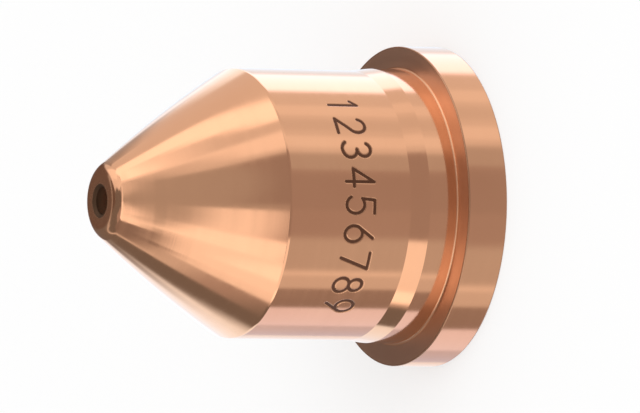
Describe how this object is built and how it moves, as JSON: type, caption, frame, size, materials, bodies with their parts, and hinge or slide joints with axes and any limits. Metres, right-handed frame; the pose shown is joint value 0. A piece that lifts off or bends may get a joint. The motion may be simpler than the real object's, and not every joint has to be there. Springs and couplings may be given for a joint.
{
  "type": "plasma torch nozzle",
  "caption": "Turned copper nozzle of a plasma cutting torch: round flange, seat land, plain body, rounded conical nose with a fine orifice, and a stepped chamber inside.",
  "frame": {"origin": "centre of the flange's rear face, on which the nozzle stands", "axes": "+Z along the turned axis, from the flange to the tip; X and Y are alike"},
  "size_m": [0.0175, 0.0174, 0.0203],
  "materials": {
    "copper": "polished copper, finely turned"
  },
  "bodies": {
    "root": {"nozzle": "copper"}
  },
  "joints": []
}
